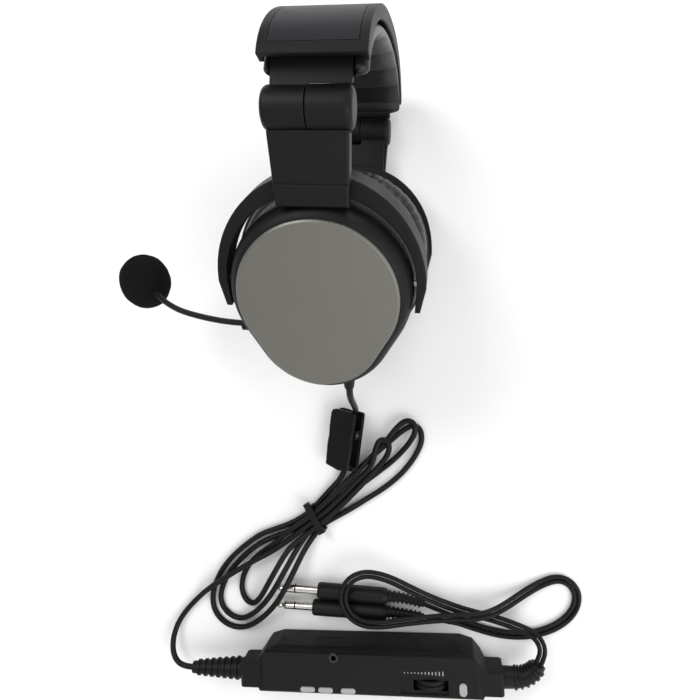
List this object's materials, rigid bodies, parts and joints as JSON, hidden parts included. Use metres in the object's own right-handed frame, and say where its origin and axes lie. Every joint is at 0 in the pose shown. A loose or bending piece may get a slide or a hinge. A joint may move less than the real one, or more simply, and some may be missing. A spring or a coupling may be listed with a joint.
{
  "type": "aviation headset",
  "caption": "Over-ear aviation headset with boom microphone, folding yokes, padded headband, clothes clip, tied downlead, battery control box and plugs.",
  "frame": {"origin": "centre of the right cup's flat outer plate, which rests on the table", "axes": "+X towards the wearer's back, +Y up along the right arm, +Z from the right ear to the left ear"},
  "size_m": [0.2969, 0.42, 0.183],
  "materials": {
    "satin_plate": "satin grey moulded plate",
    "shell_plastic": "fine textured charcoal",
    "dark_plastic": "fine textured black",
    "arm_plastic": "satin charcoal",
    "panel_plastic": "satin dark grey",
    "cushion_leather": "soft pleated synthetic leather",
    "steel": "brushed",
    "board": "green solder mask",
    "foam": "open cell foam",
    "cord_rubber": "matt black jacket",
    "tie_nylon": "matt nylon",
    "nickel": "nickel plated",
    "cell_wrap": "plain wrap",
    "button_silver": "light silver grey"
  },
  "bodies": {
    "cup_left": {"face_plate_left": "satin_plate", "housing_left": "shell_plastic", "baffle_left": "dark_plastic", "driver_left": "steel", "noise_board_left": "board", "ear_cushion_left": "cushion_leather", "pivot_screws_left": "steel", "cord_gland": "cord_rubber", "downlead_drop": "cord_rubber", "downlead_hank": "cord_rubber", "cable_tie": "tie_nylon", "downlead_tail": "cord_rubber", "clip_base": "dark_plastic", "clip_pin": "steel", "clip_spring": "steel", "box_front": "shell_plastic", "box_rear": "shell_plastic", "batteries": "cell_wrap", "circuit_board": "board", "audio_jack": "steel", "box_boot_in": "cord_rubber", "box_boot_out": "cord_rubber", "headphone_plug_shaft": "nickel", "headphone_plug_boot": "cord_rubber", "mic_plug_shaft": "nickel", "mic_plug_boot": "cord_rubber", "headphone_cord": "cord_rubber", "mic_cord": "cord_rubber"},
    "boom_arm": {"boom_collar": "dark_plastic", "boom": "cord_rubber", "mic_housing": "dark_plastic", "mic_windscreen": "foam"},
    "arm_left": {"yoke_left": "dark_plastic", "arm_cover_left": "arm_plastic", "hinge_pin_left": "steel"},
    "slider_left": {"slider_rail_left": "arm_plastic"},
    "headband": {"headband_cover": "shell_plastic", "headband_panel": "panel_plastic", "headband_spring": "steel", "headband_pad": "cushion_leather"},
    "slider_right": {"slider_rail_right": "arm_plastic"},
    "arm_right": {"yoke_right": "dark_plastic", "arm_cover_right": "arm_plastic", "hinge_pin_right": "steel"},
    "cup_right": {"face_plate_right": "satin_plate", "housing_right": "shell_plastic", "baffle_right": "dark_plastic", "driver_right": "steel", "noise_board_right": "board", "ear_cushion_right": "cushion_leather", "pivot_screws_right": "steel"},
    "clip_jaw": {"clip_jaw": "dark_plastic"},
    "battery_door": {"battery_door": "shell_plastic"},
    "wheel_left": {"volume_wheel_left": "dark_plastic"},
    "wheel_right": {"volume_wheel_right": "dark_plastic"},
    "button_left": {"button_left": "button_silver"},
    "button_middle": {"button_middle": "button_silver"},
    "button_right": {"button_right": "button_silver"},
    "power_button": {"power_button": "button_silver"}
  },
  "joints": [
    {"name": "boom_turn", "type": "hinge", "parent": "cup_left", "child": "boom_arm", "pos_m": [-0.039, -0.05162, 0.11202], "axis": [1, 0, 0], "range_deg": [-45, 60]},
    {"name": "cup_tilt_left", "type": "hinge", "parent": "cup_left", "child": "arm_left", "pos_m": [0, -0.028, 0.1215], "axis": [1, 0, 0], "range_deg": [0, 8]},
    {"name": "fold_left", "type": "hinge", "parent": "arm_left", "child": "slider_left", "pos_m": [0, 0.03856, 0.16882], "axis": [1, 0, 0], "range_deg": [0, 15]},
    {"name": "adjust_left", "type": "slide", "parent": "slider_left", "child": "headband", "axis": [0, 0.9998, 0.0175], "range_m": [0, 0.01]},
    {"name": "adjust_right", "type": "slide", "parent": "headband", "child": "slider_right", "axis": [0, -0.8746, -0.4848], "range_m": [0, 0.01]},
    {"name": "fold_right", "type": "hinge", "parent": "slider_right", "child": "arm_right", "pos_m": [0, 0.0813, 0.0093], "axis": [1, 0, 0], "range_deg": [0, 15]},
    {"name": "cup_tilt_right", "type": "hinge", "parent": "arm_right", "child": "cup_right", "pos_m": [0, 0, 0.017], "axis": [1, 0, 0], "range_deg": [0, 8]},
    {"name": "clip_open", "type": "hinge", "parent": "cup_left", "child": "clip_jaw", "pos_m": [-0.0009, -0.1233, 0.01045], "axis": [-0.8634, 0.0679, -0.5], "range_deg": [0, 18], "stiffness_Nm_per_rad": 0.3, "springref_deg": -11.46},
    {"name": "door_release", "type": "slide", "parent": "cup_left", "child": "battery_door", "axis": [-0.0958, 0.9954, 0], "range_m": [0, 0.005]},
    {"name": "volume_left", "type": "hinge", "parent": "cup_left", "child": "wheel_left", "pos_m": [0.06569, -0.28106, 0.0168], "axis": [-0.0958, 0.9954, 0], "range_deg": [-120, 120]},
    {"name": "volume_right", "type": "hinge", "parent": "cup_left", "child": "wheel_right", "pos_m": [0.06603, -0.28455, 0.0168], "axis": [-0.0958, 0.9954, 0], "range_deg": [-120, 120]},
    {"name": "press_button_left", "type": "slide", "parent": "cup_left", "child": "button_left", "axis": [0, 0, -1], "range_m": [0, 0.0007], "stiffness_N_per_m": 600, "springref_m": -0.0007},
    {"name": "press_button_middle", "type": "slide", "parent": "cup_left", "child": "button_middle", "axis": [0, 0, -1], "range_m": [0, 0.0007], "stiffness_N_per_m": 600, "springref_m": -0.0007},
    {"name": "press_button_right", "type": "slide", "parent": "cup_left", "child": "button_right", "axis": [0, 0, -1], "range_m": [0, 0.0007], "stiffness_N_per_m": 600, "springref_m": -0.0007},
    {"name": "press_power_button", "type": "slide", "parent": "cup_left", "child": "power_button", "axis": [0, 0, -1], "range_m": [0, 0.0007], "stiffness_N_per_m": 600, "springref_m": -0.0007}
  ]
}
